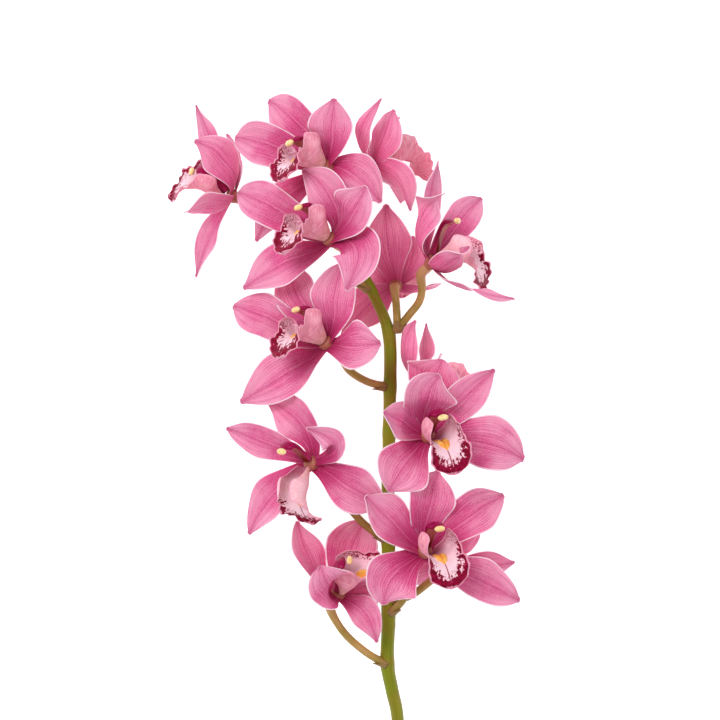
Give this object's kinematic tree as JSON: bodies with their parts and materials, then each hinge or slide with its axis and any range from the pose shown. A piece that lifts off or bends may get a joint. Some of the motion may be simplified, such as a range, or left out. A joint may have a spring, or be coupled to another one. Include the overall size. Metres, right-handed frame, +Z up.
{
  "type": "cut cymbidium orchid stem",
  "caption": "Cut cymbidium orchid stem with open pink blooms along an arching green stalk, lying on a surface.",
  "frame": {"origin": "on the surface that the stem lies on, under the middle of its outline", "axes": "+Y along the stem from its cut end towards its tip, +Z up from the surface, +X to the right seen from above"},
  "size_m": [0.2208, 0.4634, 0.1169],
  "materials": {
    "stem": "satin olive green plant stem",
    "tepals": "soft waxy pink petal with darker veins",
    "lip": "waxy whitish pink petal with crimson spots",
    "column": "waxy crimson, brownish below",
    "anther_cap": "waxy cream"
  },
  "bodies": {
    "root": {"stem": "stem", "bloom_a_tepals": "tepals", "bloom_a_lip": "lip", "bloom_a_column": "column", "bloom_a_anther_cap": "anther_cap", "bloom_b_tepals": "tepals", "bloom_b_lip": "lip", "bloom_b_column": "column", "bloom_b_anther_cap": "anther_cap", "bloom_c_tepals": "tepals", "bloom_c_lip": "lip", "bloom_c_column": "column", "bloom_c_anther_cap": "anther_cap", "bloom_d_tepals": "tepals", "bloom_d_lip": "lip", "bloom_d_column": "column", "bloom_d_anther_cap": "anther_cap", "bloom_e_tepals": "tepals", "bloom_e_lip": "lip", "bloom_e_column": "column", "bloom_e_anther_cap": "anther_cap", "bloom_f_tepals": "tepals", "bloom_f_lip": "lip", "bloom_f_column": "column", "bloom_f_anther_cap": "anther_cap", "bloom_g_tepals": "tepals", "bloom_g_lip": "lip", "bloom_g_column": "column", "bloom_g_anther_cap": "anther_cap", "bloom_h_tepals": "tepals", "bloom_h_lip": "lip", "bloom_h_column": "column", "bloom_h_anther_cap": "anther_cap", "bloom_i_tepals": "tepals", "bloom_i_lip": "lip", "bloom_i_column": "column", "bloom_i_anther_cap": "anther_cap", "bloom_j_tepals": "tepals", "bloom_j_lip": "lip", "bloom_j_column": "column", "bloom_j_anther_cap": "anther_cap", "bloom_k_tepals": "tepals", "bloom_k_lip": "lip", "bloom_k_column": "column", "bloom_k_anther_cap": "anther_cap", "bloom_l_tepals": "tepals", "bloom_l_lip": "lip", "bloom_l_column": "column", "bloom_l_anther_cap": "anther_cap", "bloom_m_tepals": "tepals", "bloom_m_lip": "lip", "bloom_m_column": "column", "bloom_m_anther_cap": "anther_cap"}
  },
  "joints": []
}
